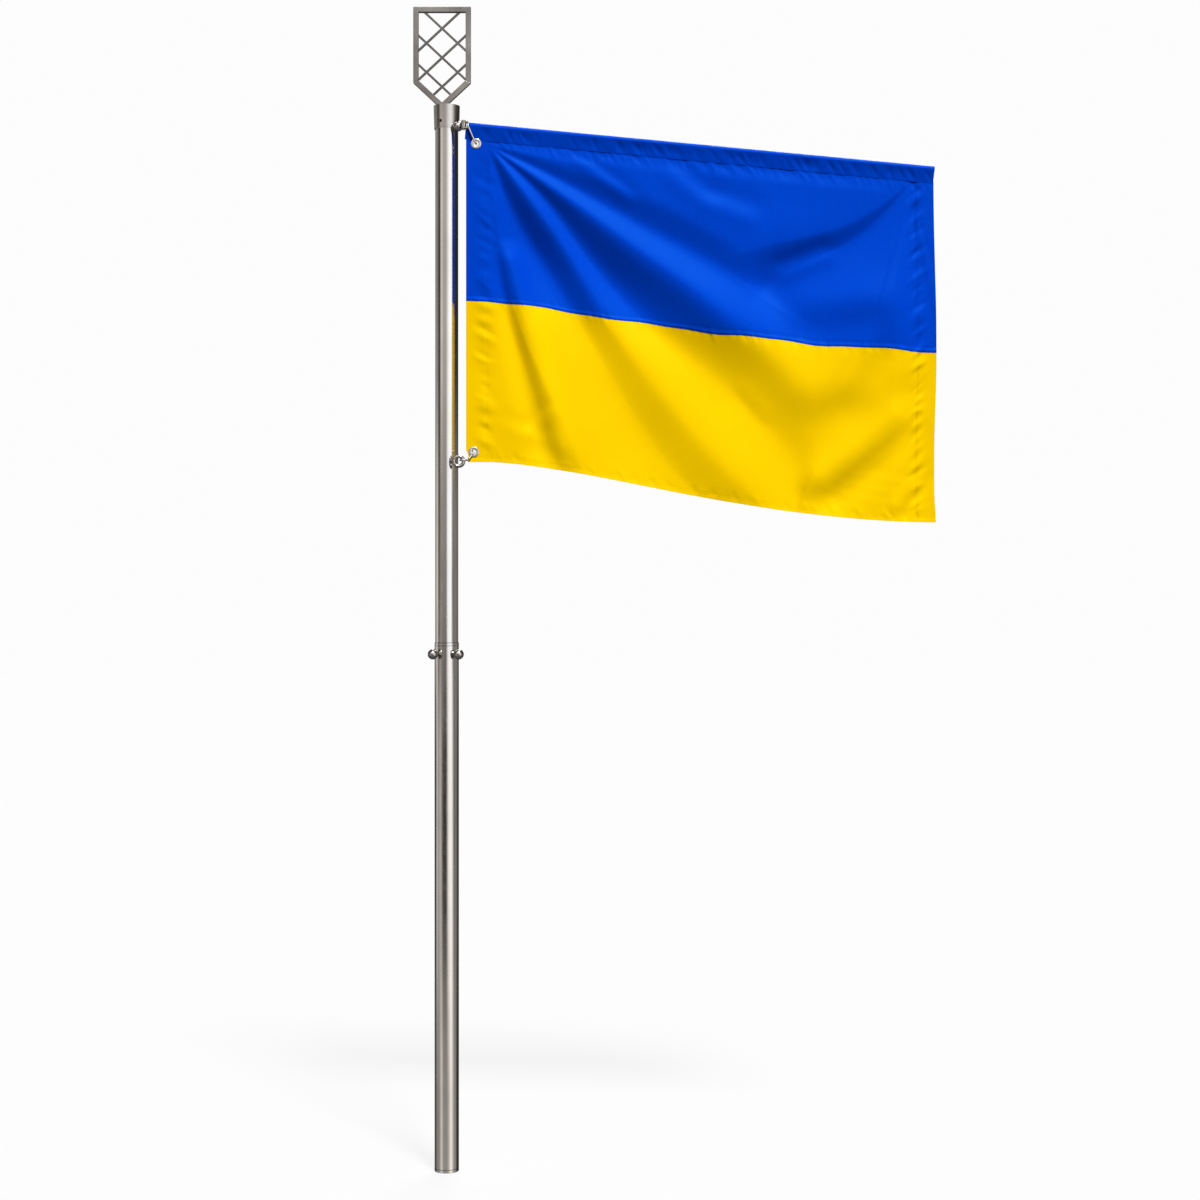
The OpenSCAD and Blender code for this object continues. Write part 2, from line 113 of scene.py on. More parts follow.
def hem_low_z(x):
    """Height of the flag's lower edge."""
    along = np.clip((x - HEM_X) / (FLY_X - HEM_X), 0, 1) ** 0.8
    return pocket_z(HOIST_X) - FLAG_H - (FLAG_L * math.tan(DROOP) + FLY_SAG) * ease(0, 1, along)


# ---- Camera ----


# Metres right of the pole, in front of it, and below its middle height
CAMERA_X, CAMERA_DISTANCE, CAMERA_DROP = 0.40, 5.742, 0.029
SENSOR_WIDTH, FOCAL_LENGTH = 36, 66


def make_camera():
    low, high = CAD_BOX
    data = bpy.data.cameras.new("camera")
    data.sensor_width = SENSOR_WIDTH
    data.lens = FOCAL_LENGTH
    camera = bpy.data.objects.new("camera", data)
    bpy.context.scene.collection.objects.link(camera)
    camera.location = (CAMERA_X, -CAMERA_DISTANCE, (low.z + high.z) / 2 - CAMERA_DROP)
    camera.rotation_euler = (math.radians(90), 0, 0)
    bpy.context.scene.camera = camera


# ---- Node helpers ----


class Nodes:
    """Short calls for building a node tree."""

    def __init__(self, tree):
        self.tree = tree
        tree.nodes.clear()

    def add(self, kind, **settings):
        node = self.tree.nodes.new("ShaderNode" + kind)
        for key, value in settings.items():
            setattr(node, key, value)
        return node

    def link(self, source, node, socket):
        self.tree.links.new(source, node.inputs[socket])

    def feed(self, node, socket, value):
        """Links a socket to an input, or sets the input to a plain value."""
        if isinstance(value, bpy.types.NodeSocket):
            self.link(value, node, socket)
        else:
            node.inputs[socket].default_value = value

    def math(self, operation, a, b=0.0):
        node = self.add("Math", operation=operation)
        self.feed(node, 0, a)
        self.feed(node, 1, b)
        return node.outputs[0]

    def ramp(self, factor, stops, mode="LINEAR"):
        node = self.add("ValToRGB")
        node.color_ramp.interpolation = mode
        elements = node.color_ramp.elements
        while len(elements) > 1:
            elements.remove(elements[-1])
        elements[0].position = stops[0][0]
        elements[0].color = rgba(stops[0][1])
        for position, value in stops[1:]:
            elements.new(position).color = rgba(value)
        self.link(factor, node, 0)
        return node.outputs[0]

    def mix(self, factor, a, b):
        """Mixes two colours. The inputs' numbers are those of the Mix node's colour sockets."""
        node = self.add("Mix", data_type="RGBA")
        self.feed(node, 0, factor)
        for socket, value in ((6, a), (7, b)):
            is_link = isinstance(value, bpy.types.NodeSocket)
            self.feed(node, socket, value if is_link else rgba(value))
        return node.outputs[2]

    def noise(self, scale, stretch=(1, 1, 1), detail=3.0, roughness=0.55):
        mapping = self.add("Mapping")
        mapping.inputs["Scale"].default_value = stretch
        self.link(self.add("TexCoord").outputs["Object"], mapping, 0)
        node = self.add("TexNoise")
        node.inputs["Scale"].default_value = scale
        node.inputs["Detail"].default_value = detail
        node.inputs["Roughness"].default_value = roughness
        self.link(mapping.outputs[0], node, "Vector")
        return node.outputs[0]

    def bump(self, height, strength, distance):
        node = self.add("Bump")
        node.inputs["Strength"].default_value = strength
        node.inputs["Distance"].default_value = distance
        self.link(height, node, "Height")
        return node.outputs[0]


def rgba(value):
    """A shader colour from a grey level or from three channels."""
    channels = (value,) * 3 if isinstance(value, (int, float)) else tuple(value)
    return channels + (1,)


def scaled(colour, share):
    return [min(1, channel * share) for channel in colour]


def new_material(name):
    material = bpy.data.materials.new(name)
    material.use_nodes = True
    n = Nodes(material.node_tree)
    shader = n.add("BsdfPrincipled")
    out = n.add("OutputMaterial")
    n.link(shader.outputs[0], out, 0)
    return material, n, shader


# ---- Materials ----

# Width of one over and under of the cloth's weave
WEAVE = 0.9 * MM
# How far the edges of the finial's bars and of its thin lattice are rounded
BAR_EDGE = 0.9 * MM
LATTICE_EDGE = 0.5 * MM


def brushed_steel(name, colour, roughness, lines, wear=0.08, patchy=0.05, joints=()):
    """Satin stainless steel: fine brushing, faint handling marks, painted shade in the gaps between parts.

    Each entry is (height, half width) of a dark line of painted shade round the tube, in metres.
    """
    material, n, shader = new_material(name)
    fine = n.noise(lines, (0.06, 0.06, 1), detail=2.0)
    broad = n.ramp(n.noise(9, (1, 1, 0.8), detail=4.0), [(0.3, 0), (0.7, 1)])
    marks = n.noise(60, (1, 1, 0.25), detail=5.0, roughness=0.7)
    tint = n.mix(broad, scaled(colour, 1 - patchy), scaled(colour, 1 + patchy))
    axes = n.add("SeparateXYZ")
    n.link(n.add("TexCoord").outputs["Object"], axes, 0)
    # Painted shade: each line darkens the colour where a gap between parts falls into shadow.
    for height, half in joints:
        away = n.math("ABSOLUTE", n.math("SUBTRACT", axes.outputs["Z"], height))
        line = n.ramp(n.math("DIVIDE", away, 2 * half), [(0.45, 1), (0.7, 0)])
        tint = n.mix(line, tint, scaled(colour, 0.12))
    n.link(tint, shader, "Base Color")
    shader.inputs["Metallic"].default_value = 1
    rough = n.ramp(marks, [(0.3, roughness - wear * 0.4), (0.7, roughness + wear * 0.6)])
    n.link(rough, shader, "Roughness")
    n.link(n.bump(fine, 0.12, 0.0002), shader, "Normal")
    return material


def polished(name, colour, roughness, rim_shade_share=0.25):
    """Bright plated metal with painted shade darkening its rims, a slightly wavy skin and fine scratches.
    """
    material, n, shader = new_material(name)
    wavy = n.noise(120, detail=2.0)
    scratch = n.noise(500, (1, 0.1, 0.4), detail=3.0)
    tint = n.mix(n.noise(40), scaled(colour, 0.85), colour)
    # Painted shade: the base colour darkens towards the grazing rims, standing in for darker reflections
    # there.
    rim = n.add("LayerWeight")
    rim.inputs[0].default_value = 0.5
    facing = n.ramp(rim.outputs["Facing"], [(0.15, 0), (0.75, 1)])
    n.link(n.mix(facing, tint, scaled(colour, rim_shade_share)), shader, "Base Color")
    shader.inputs["Metallic"].default_value = 1
    n.link(n.ramp(scratch, [(0.35, roughness), (0.75, roughness + 0.12)]), shader, "Roughness")
    n.link(n.bump(wavy, 0.08, 0.0003), shader, "Normal")
    return material


def dark_part(name, colour, roughness, metallic):
    """Blackened screw or moulded end plug: fine grain and rubbed lighter patches."""
    material, n, shader = new_material(name)
    grain = n.noise(900, detail=3.0)
    rubbed = n.ramp(n.noise(150, detail=4.0), [(0.45, 0), (0.75, 1)])
    n.link(n.mix(rubbed, colour, scaled(colour, 1.9)), shader, "Base Color")
    shader.inputs["Metallic"].default_value = metallic
    n.link(n.ramp(grain, [(0.3, roughness - 0.06), (0.7, roughness + 0.08)]), shader, "Roughness")
    n.link(n.bump(grain, 0.25, 0.0002), shader, "Normal")
    return material


def satin_cloth(name, colour, deep, gloss, roughness=0.46):
    """Woven polyester: a fine plain weave, slubs in a deeper colour, and a satin sheen."""
    material, n, shader = new_material(name)
    axes = n.add("SeparateXYZ")
    n.link(n.add("TexCoord").outputs["Object"], axes, 0)
    pitch = 2 * math.pi / WEAVE
    warp = n.math("SINE", n.math("MULTIPLY", axes.outputs["X"], pitch))
    weft = n.math("SINE", n.math("MULTIPLY", axes.outputs["Z"], pitch))
    weave = n.math("MULTIPLY", warp, weft)
    slub = n.noise(700, (1, 1, 0.06), detail=2.0)
    slub_across = n.noise(700, (0.06, 1, 1), detail=2.0)
    patches = n.noise(6, detail=3.0)
    shade = n.mix(n.ramp(patches, [(0.35, 0), (0.7, 1)]), scaled(colour, 0.96), colour)
    threads = n.math("MULTIPLY", n.math("ADD", slub, slub_across), 0.5)
    tint = n.mix(n.ramp(threads, [(0.36, 0.5), (0.52, 0)]), shade, deep)
    n.link(tint, shader, "Base Color")
    n.link(n.ramp(threads, [(0.3, roughness - 0.05), (0.7, roughness + 0.06)]), shader, "Roughness")
    shader.inputs["Specular IOR Level"].default_value = 0.10
    shader.inputs["Specular Tint"].default_value = rgba(gloss)
    shader.inputs["Sheen Weight"].default_value = 0.03
    shader.inputs["Sheen Roughness"].default_value = 0.4
    shader.inputs["Sheen Tint"].default_value = rgba(gloss)
    height = n.math("ADD", n.math("MULTIPLY", weave, 0.5), threads)
    n.link(n.bump(height, 0.22, 0.00025), shader, "Normal")
    return material


STEEL_TINT = (0.62, 0.60, 0.575)
BLUE_GLOSS = (0.0, 0.7, 1.0)
BLUE_THREAD_GLOSS = (0.05, 0.35, 1.0)
YELLOW_GLOSS = (1.0, 0.85, 0.05)
MATERIALS = {
    "tube": brushed_steel("brushed_tube_steel", STEEL_TINT, 0.13, 900),
    # The lower tube's dark lines at its rim, its groove and its cap are painted shade.
    "lower_tube": brushed_steel(
        "brushed_lower_tube", STEEL_TINT, 0.13, 900,
        joints=((RIM_Z - 0.3 * MM, 0.9 * MM), (RIM_Z - 8.2 * MM, 0.5 * MM), (CAP_Z, 0.6 * MM)),
    ),
    "finial": brushed_steel("brushed_finial_steel", (0.28, 0.265, 0.25), 0.24, 1400, patchy=0.42),
    "lattice": brushed_steel("brushed_lattice_steel", (0.16, 0.15, 0.142), 0.28, 1400, patchy=0.3),
    "collar": brushed_steel("turned_collar_steel", (0.47, 0.45, 0.43), 0.25, 1400, patchy=0.16),
    "bright": polished("polished_steel", (0.46, 0.43, 0.40), 0.07, 0.2),
    "nickel": polished("nickel_plate", (0.80, 0.76, 0.71), 0.07, 0.3),
    "dark": dark_part("black_oxide", (0.018, 0.017, 0.016), 0.45, 0.8),
    "plug": dark_part("moulded_plug", (0.03, 0.03, 0.032), 0.5, 0.0),
    "blue": satin_cloth("blue_polyester", (0.0, 0.055, 0.62), (0.0, 0.040, 0.52), BLUE_GLOSS),
    "yellow": satin_cloth("yellow_polyester", (1.0, 0.635, 0.0), (0.96, 0.57, 0.0), YELLOW_GLOSS),
    "blue_thread": satin_cloth(
        "blue_thread", (0.0, 0.02, 0.26), (0.0, 0.012, 0.18), BLUE_THREAD_GLOSS, 0.6
    ),
    "yellow_thread": satin_cloth(
        "yellow_thread", (0.66, 0.32, 0.0), (0.52, 0.24, 0.0), YELLOW_GLOSS, 0.6
    ),
}
NODE_MATERIALS = {
    "tube": ("upper_tube", "crossbar"),
    "collar": ("finial_collar",),
    "lower_tube": ("base_cap", "lower_tube"),
    "finial": (
        "finial_top_bar", "finial_left_bar", "finial_right_bar",
        "finial_lower_left_bar", "finial_lower_right_bar",
    ),
    "lattice": ("finial_lattice",),
    "bright": (
        "clamp_screw_left", "clamp_screw_right", "top_stud", "hinge_pin",
        "lower_eye", "crossbar_fork",
    ),
    "nickel": ("top_grommet", "lower_grommet", "top_hook", "lower_link"),
    "dark": ("collar_set_screw",),
    "plug": ("crossbar_end_cap",),
}


def paint(obj, key):
    obj.data.materials.clear()
    obj.data.materials.append(MATERIALS[key])


def dress_cad_nodes():
    """Better materials and softened edges on the CAD nodes that stay."""
    for key, names in NODE_MATERIALS.items():
        for name in names:
            paint(NODES[name], key)
    for name in NODE_MATERIALS["finial"] + ("crossbar_fork",):
        soften_edges(NODES[name], BAR_EDGE)
    soften_edges(NODES["finial_lattice"], LATTICE_EDGE)


def soften_edges(obj, width):
    weld = obj.modifiers.new("weld", "WELD")
    weld.merge_threshold = 1e-6
    bevel = obj.modifiers.new("bevel", "BEVEL")
    bevel.width = width
    bevel.segments = 3
    bevel.limit_method = "ANGLE"
    bevel.angle_limit = math.radians(40)
    normals = obj.modifiers.new("normals", "WEIGHTED_NORMAL")
    normals.keep_sharp = True


# ---- Mesh helpers ----


def add_mesh(name, points, faces, material):
    mesh = bpy.data.meshes.new(name)
    mesh.from_pydata([tuple(p) for p in points], [], [tuple(int(i) for i in f) for f in faces])
    mesh.validate()
    mesh.materials.append(MATERIALS[material])
    obj = bpy.data.objects.new(name, mesh)
    bpy.context.scene.collection.objects.link(obj)
    mesh.polygons.foreach_set("use_smooth", [True] * len(mesh.polygons))
    mesh.set_sharp_from_angle(angle=math.radians(40))
    return obj


def place(obj, body, slot, *nodes):
    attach(obj, body)
    if nodes:
        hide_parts(*nodes)
    return obj


def clear_of(grid, grommets):
    """Marks the cells of a grid of points that lie outside the grommets' holes."""
    cell_x = (grid[:-1, :-1, 0] + grid[1:, 1:, 0]) / 2
    cell_z = (grid[:-1, :-1, 2] + grid[1:, 1:, 2]) / 2
    keep = np.ones(cell_x.shape, bool)
    for g in grommets:
        keep &= np.hypot(cell_x - g.x, cell_z - g.z) > EYELET_R
    return keep


def shell(front, back, keep):
    """A closed thin sheet from two grids of points, leaving out cells that keep marks False."""
    rows, columns = front.shape[:2]
    step = rows * columns
    at = np.arange(step).reshape(rows, columns)
    a, b = at[:-1, :-1][keep], at[:-1, 1:][keep]
    c, d = at[1:, 1:][keep], at[1:, :-1][keep]
    faces = [np.stack([a, d, c, b], 1), np.stack([a, b, c, d], 1) + step]
    pad = np.pad(keep, 1)
    for dr, dc, first, second in (
        (-1, 0, at[:-1, :-1], at[:-1, 1:]),
        (1, 0, at[1:, 1:], at[1:, :-1]),
        (0, -1, at[1:, :-1], at[:-1, :-1]),
        (0, 1, at[:-1, 1:], at[1:, 1:]),
    ):
        edge = keep & ~pad[1 + dr:rows + dr, 1 + dc:columns + dc]
        p, q = first[edge], second[edge]
        faces.append(np.stack([p, q, q + step, p + step], 1))
    points = np.concatenate([front.reshape(-1, 3), back.reshape(-1, 3)])
    faces = np.concatenate(faces)
    used = np.unique(faces)
    index = np.full(len(points), -1)
    index[used] = np.arange(len(used))
    return points[used], index[faces]


# Radii of the rings that round off a wire's end, as shares of the wire's own radius
DOME = (0.15, 0.6, 0.87)


def unit(vectors):
    return vectors / np.linalg.norm(vectors, axis=-1, keepdims=True)


def wire_stations(path, radius):
    """Centres, radii and directions of a wire's rings, with its two domed ends."""
    along = unit(np.gradient(path, axis=0))
    out = [radius * math.sqrt(1 - k * k) for k in DOME]
    head = [path[0] - along[0] * o for o in out]
    tail = [path[-1] + along[-1] * o for o in out]
    rounding = [radius * k for k in DOME]
    return (
        head + list(path) + tail[::-1],
        rounding + [radius] * len(path) + rounding[::-1],
        [along[0]] * len(DOME) + list(along) + [along[-1]] * len(DOME),
    )


def tube(name, path, radius, material, sides=20):
    """A round wire along a smooth path, with domed ends."""
    centres, sizes, directions = wire_stations(np.array(path, float), radius)
    up = np.array([0.0, 0.0, 1.0]) if abs(directions[0][2]) < 0.8 else np.array([1.0, 0.0, 0.0])
    side = unit(np.cross(directions[0], up))
    turns = np.arange(sides) * 2 * math.pi / sides
    rings = []
    for centre, size, along in zip(centres, sizes, directions):
        side = unit(side - along * np.dot(side, along))
        other = np.cross(along, side)
        rings.append(centre + size * (np.outer(np.cos(turns), side) + np.outer(np.sin(turns), other)))
    faces = []
    for i in range(len(rings) - 1):
        here, beyond = i * sides, (i + 1) * sides
        for k in range(sides):
            m = (k + 1) % sides
            faces.append((here + k, here + m, beyond + m, beyond + k))
    faces.append(tuple(reversed(range(sides))))
    faces.append(tuple((len(rings) - 1) * sides + k for k in range(sides)))
    return add_mesh(name, np.concatenate(rings), faces, material)


def run_lengths(path):
    """Distance along a polyline at each of its points."""
    return np.concatenate([[0], np.cumsum(np.linalg.norm(np.diff(path, axis=0), axis=1))])


def points_at(path, lengths, places):
    """Points at the given distances along a polyline."""
    return np.stack([np.interp(places, lengths, path[:, i]) for i in range(3)], 1)


def smooth_path(points, samples=48):
    """Rounds the corners of a polyline by cutting them, then spaces it evenly."""
    points = np.array(points, float)
    for _ in range(3):
        cut = [points[0]]
        for p, q in zip(points[:-1], points[1:]):
            cut += [p * 0.75 + q * 0.25, p * 0.25 + q * 0.75]
        cut.append(points[-1])
        points = np.array(cut)
    lengths = run_lengths(points)
    return points_at(points, lengths, np.linspace(0, lengths[-1], samples))


# ---- The flag's cloth ----
# The cloth hangs in swags between its two upper corners. Facets that face up and catch
# the light alternate with facets that face down. Each border between two facets is
# given as (reach, angle below level) seen from the hoist corner and from the fly
# corner; reaches are in mm, angles in degrees. A swag follows the hoist's border on
# its left, turns round at the bottom and follows the fly's border on its right.

HOIST_BORDERS = (
    ((0, 6), (1000, 6)),
    ((0, 11), (200, 12), (488, 14.6), (607, 16.4), (778, 19.5), (1100, 19)),
    ((0, 18), (212, 21), (439, 23), (586, 23), (745, 24.4), (904, 25.6), (1113, 24.5)),
    ((0, 29), (230, 30.4), (400, 32.2), (560, 32), (731, 33.3), (884, 33), (983, 35), (1150, 34)),
    ((0, 37), (166, 39), (271, 43), (378, 45), (572, 45), (746, 43.5), (858, 42.3), (1057, 42.6)),
    ((0, 51), (307, 51.5), (416, 53.7), (568, 54), (782, 53), (985, 51.8), (1090, 50.6)),
    ((0, 72), (130, 70), (263, 65.4), (380, 62.6), (585, 61.3), (794, 60.6), (968, 59), (1043, 58)),
    ((0, 88), (242, 82), (423, 80.5), (527, 77.5), (630, 75.5), (707, 73.7), (810, 72.8)),
    ((0, 93), (242, 88.4), (419, 85.3), (519, 81.8), (634, 79.6), (805, 78.2)),
    ((0, 112), (1000, 98)),
)
FLY_BORDERS = (
    ((0, -6), (1000, -6)),
    ((0, 42), (80, 41), (241, 34.6), (377, 27)),
    ((0, 55), (103, 53), (200, 49), (276, 44), (345, 39.5)),
    ((0, 78), (200, 76), (300, 75), (550, 72), (700, 66)),
    ((0, 86), (200, 83), (350, 80), (600, 77), (760, 71)),
    ((0, 99), (500, 98), (560, 92), (635, 83.5), (746, 77), (864, 72)),
    ((0, 103), (520, 102), (618, 94.5), (658, 88.5), (747, 82), (846, 76.5)),
    ((0, 108), (640, 106), (740, 93), (822, 88.5)),
    ((0, 112), (640, 110), (740, 97.5), (822, 92.5)),
    ((0, 130), (1000, 120)),
)
# How steeply each facet leans: positive faces up, negative faces down.
HOIST_FACETS = (0.14, -0.30, 0.42, -0.54, 0.46, -0.56, 0.34, -0.52, 0.12)
FLY_FACETS = (0.05, -0.42, 0.26, 0.18, -0.20, 0.42, -0.18, 0.34, 0.0)
# Free creases: (x, z) from and to, as shares of the flag's length and height,
# then the half width in mm and the height in mm.
CREASES = (
    ((0.24, 0.02), (0.36, 0.13), 22, -3),
    ((0.44, 0.03), (0.53, 0.12), 34, -4),
    ((0.52, 0.10), (0.62, 0.14), 36, -4),
    ((0.66, 0.30), (0.78, 0.22), 26, -4),
    ((0.96, 0.69), (0.75, 0.95), 46, -30),
    ((0.70, 0.70), (0.85, 0.64), 62, 10),
    ((0.93, 0.50), (0.77, 0.84), 50, 9),
    ((0.985, 0.85), (0.92, 0.98), 24, -10),
    ((0.70, 0.44), (0.90, 0.38), 60, 7),
    ((0.58, 0.66), (0.64, 0.75), 26, 3),
    ((0.065, 0.34), (0.19, 0.97), 40, 19),
    ((0.05, 0.86), (0.16, 0.90), 24, -3),
    ((0.12, 0.90), (0.19, 0.80), 22, -3),
)


# A facet's width stops growing with reach at about this distance, in mm
SPREAD = 1300
TURN_SOFTNESS = 0.22
SIDE_SOFTNESS = 0.24
# The swags fan out from points this far below the casing, and in from the fly edge, in mm
FAN_DROP = 10
FLY_FAN_IN = 66
# The flag's height for placing creases, in mm
CREASE_HEIGHT = 870


def polyline(knots, reach):
    """A border's angle at each reach, with its corners rounded over 90 mm each way."""
    reaches, angles = zip(*knots)
    return sum(np.interp(reach + step, reaches, angles) for step in range(-90, 91, 30)) / 7


def soft_count(q, soft=0.11):
    """Rises from 0 to 1 as q does, with rounded corners."""
    return soft * (np.logaddexp(0, q / soft) - np.logaddexp(0, (q - 1) / soft))


def facet_places(borders, u, v):
    """How many borders lie above each point, in fractions, and the facets' widths."""
    reach, turn = np.hypot(u, v - FAN_DROP), np.degrees(np.arctan2(v - FAN_DROP, u))
    angles = [polyline(knots, reach) for knots in borders]
    above, widths = np.zeros_like(reach), []
    for upper, lower in zip(angles[:-1], angles[1:]):
        above += np.clip((turn - upper) / (lower - upper), 0, 1)
        widths.append(SPREAD * (1 - np.exp(-reach / SPREAD)) * np.radians(lower - upper))
    return above, widths


def swags(u, v, span):
    """Height of the swags at u across from the hoist hem and v below the casing, in mm."""
    left, left_widths = facet_places(HOIST_BORDERS, u, v)
    right, right_widths = facet_places(FLY_BORDERS, span - u, v)
    above = TURN_SOFTNESS * np.logaddexp(left / TURN_SOFTNESS, right / TURN_SOFTNESS)
    on_left = 1 / (1 + np.exp(-(left - right) / SIDE_SOFTNESS))
    total = np.zeros_like(u)
    for k, (hoist_lean, fly_lean) in enumerate(zip(HOIST_FACETS, FLY_FACETS)):
        rise = on_left * left_widths[k] * hoist_lean
        rise += (1 - on_left) * right_widths[k] * fly_lean
        total += rise * soft_count(above - k)
    return total


def crease(x, z, start, end, width, height):
    """One free crease: raised on one side of its line and sunk on the other, in mm."""
    p, q = np.array(start), np.array(end)
    length = np.linalg.norm(q - p)
    along = (q - p) / length
    s = (x - p[0]) * along[0] + (z - p[1]) * along[1]
    d = (x - p[0]) * along[1] - (z - p[1]) * along[0]
    inside = ease(-width, width, s) * (1 - ease(length - width, length + width, s))
    return height * inside * (d / width) * np.exp(-((d / width) ** 2)) * 1.6


def puckers(x, z, line, seed, count, length, width, height, lean):
    """Short tension wrinkles along a sewn line given as a function of 0..1."""
    rng = np.random.default_rng(seed)
    total = np.zeros_like(x)
    for i in range(count):
        at = line((i + rng.uniform(0.1, 0.9)) / count)
        angle = math.radians(lean + rng.uniform(-14, 14))
        dx, dz = x - at[0], z - at[1]
        s = dx * math.cos(angle) + dz * math.sin(angle)
        d = -dx * math.sin(angle) + dz * math.cos(angle)
        long = length * rng.uniform(0.6, 1.4)
        wide = width * rng.uniform(0.8, 1.3)
        near = (np.abs(s) < 3 * long) & (np.abs(d) < 3 * wide)
        bump = np.exp(-((s[near] / long) ** 2) - (d[near] / wide) ** 2)
        total[near] += height * rng.uniform(0.4, 1.2) * rng.choice([-1, 1]) * bump
    return total


def creases(x, z):
    """Heights of the free creases, one after another, in mm."""
    wide, tall = FLAG_L / MM, CREASE_HEIGHT
    share_x = (x - HOIST_X) / FLAG_L
    share_z = (pocket_z(x) - z) / (pocket_z(x) - hem_low_z(x))
    for (x0, z0), (x1, z1), width, height in CREASES:
        yield crease(
            share_x * wide, share_z * tall, (x0 * wide, z0 * tall), (x1 * wide, z1 * tall), width, height
        )


def small_wrinkles(x, z):
    """Puckers along the fly hem, the hoist hem, the casing, the seam and the lower hem, in mm."""
    hem, fly = HEM_X / MM, FLY_X / MM
    rows = (
        # line, seed, count, length, width, height, lean
        (lambda t: (fly - 46, 2575 - t * 860), 3, 44, 20, 6, 2.4, 48),
        (lambda t: (hem - 6, 2640 - t * 760), 5, 26, 24, 10, 1.9, -30),
        (lambda t: (hem + 20 + t * 1130, pocket_z(HEM_X + 0.02 + t * 1.13) / MM - 10),
         7, 56, 15, 5, 1.3, -62),
        (lambda t: (hem + t * 1150, seam_z(HEM_X + t * 1.15) / MM), 9, 60, 14, 4, 1.2, -75),
        (lambda t: (hem + t * 1150, hem_low_z(HEM_X + t * 1.15) / MM + 16), 11, 40, 14, 6, 0.9, -60),
    )
    return sum(puckers(x / MM, z / MM, *row) for row in rows)


def drape(x, z):
    """How far the cloth stands towards the viewer, for points in metres."""
    u, v = (x - HEM_X) / MM, (pocket_z(x) - z) / MM
    fold = swags(u, v, (FLY_X - HEM_X) / MM - FLY_FAN_IN)
    for height in creases(x, z):
        fold = fold + height
    below_seam = ease(-150, 170, (seam_z(x) - z) / MM)
    fold = fold * (1 - 0.52 * below_seam)
    at_fly = 0.3 + 0.7 * ease(10, 120, (FLY_X - x) / MM)
    tied = ease(-8, 26 + 0.14 * np.maximum(v, 0), u) * ease(0, 40, v) * at_fly
    return (fold * tied + small_wrinkles(x, z) * ease(-50, -30, u)) * MM


def row_z(x, share):
    """Height of the cloth at a share of the way down, with the seam's gentle waves."""
    z = pocket_z(x) + (hem_low_z(x) - pocket_z(x)) * share
    along = (x - HOIST_X) / FLAG_L
    wave = 2.6 * np.sin(2 * math.pi * (along * 4.2 + 0.05)) * ease(0.05, 0.2, along)
    wave = wave + 1.0 * np.sin(2 * math.pi * (along * 9.3 + 0.3)) * ease(0.05, 0.2, along)
    hang = 6 * np.sin(math.pi * np.clip(along, 0, 1)) ** 2
    middle_share = np.sin(math.pi * np.clip(share, 0, 1))
    return z - (wave + hang) * MM * middle_share * ease(0, 0.12, 1 - along + 0.02)


def seam_z(x):
    return row_z(np.asarray(x, float), 0.5)


def hem_profile(distance, width, lift):
    """Extra thickness of turned-in cloth within a hem of this width."""
    return lift * (1 - ease(width - 1.5, width + 0.5, distance))


def groove(distance, sewn, half):
    """1 on a line sewn this far in, fading within its half width."""
    return np.exp(-(((distance - sewn) / half) ** 2))


def fly_bow(z):
    """The fly edge bows in below the casing and swings out at the seam and the low corner."""
    v = (pocket_z(FLY_X) - z) / MM
    return MM * (7 * np.sin(np.clip(v / 440, 0, 1) * math.pi / 2) ** 2
                 - 6 * ease(450, 700, v) + 4 * ease(790, 880, v) - 2)


def bow_shift(x, z):
    """How far the fly edge's bow moves a point sideways."""
    return fly_bow(z) * ease(FLY_X - BOW_REACH, FLY_X, x)


def clear_of_link(x, z):
    """How far the lower hoist corner gives way to the link."""
    near = (1 - ease(EYE.z - 0.001, EYE.z + 0.016, z)) * (1 - ease(HOIST_X, HOIST_X + 0.03, x))
    return 5.2 * MM * near


FLAG_COLUMNS = 330
BAND_ROWS = 112
# How far a band's upper edge tucks in behind the piece above
TUCK = 7 * MM


def band_faces(x, z, is_lower):
    """How far a band's front stands towards the viewer, and its thickness, in metres."""
    from_hoist, from_fly = (x - HOIST_X) / MM, (FLY_X - x) / MM
    from_seam, from_low = (z - seam_z(x)) / MM, (z - row_z(x, 1.0)) / MM
    welt = 1.5 * groove(from_seam, 5.5, 4.0) - 0.7 * groove(from_seam, SEAM_SEWN, 2.0)
    front = drape(x, z) + welt * MM
    front += MM * (
        hem_profile(from_hoist, HOIST_HEM, 0.55) + hem_profile(from_fly, FLY_HEM, 0.45)
        + hem_profile(from_low, LOW_HEM, 0.6)
    )
    front -= MM * 0.8 * (
        groove(from_hoist, HOIST_SEWN, 2.2) + groove(from_fly, FLY_SEWN, 2.2)
        + groove(from_low, LOW_SEWN, 2.0)
    )
    if is_lower:
        front = front - 0.75 * MM * ease(-1.5, 0.5, from_seam)
    thick = CLOTH + MM * (
        hem_profile(from_hoist, HOIST_HEM, 0.9) + hem_profile(from_fly, FLY_HEM, 0.7)
        + hem_profile(from_low, LOW_HEM, 0.9)
    )
    return front, thick


def band(name, share_a, share_b, material, grommet):
    """One sewn band of the flag, between two shares of its height."""
    x = np.tile(np.linspace(HOIST_X, FLY_X, FLAG_COLUMNS + 1), (BAND_ROWS + 1, 1))
    share = np.linspace(0, 1, BAND_ROWS + 1)[:, None] * np.ones_like(x)
    top, low = row_z(x, share_a) + TUCK, row_z(x, share_b)
    z = top + (low - top) * share
    is_lower = share_a > 0
    front, thick = band_faces(x, z, is_lower)
    shift = bow_shift(x, z)
    if is_lower:
        shift = shift + clear_of_link(x, z)
    front_y = AXIS_Y - front - CLOTH / 2
    grid_front = np.stack([x + shift, front_y, z], 2)
    grid_back = np.stack([x + shift, front_y + thick, z], 2)
    points, faces = shell(grid_front, grid_back, clear_of(grid_front, (grommet,)))
    return add_mesh(name, points, faces, material)


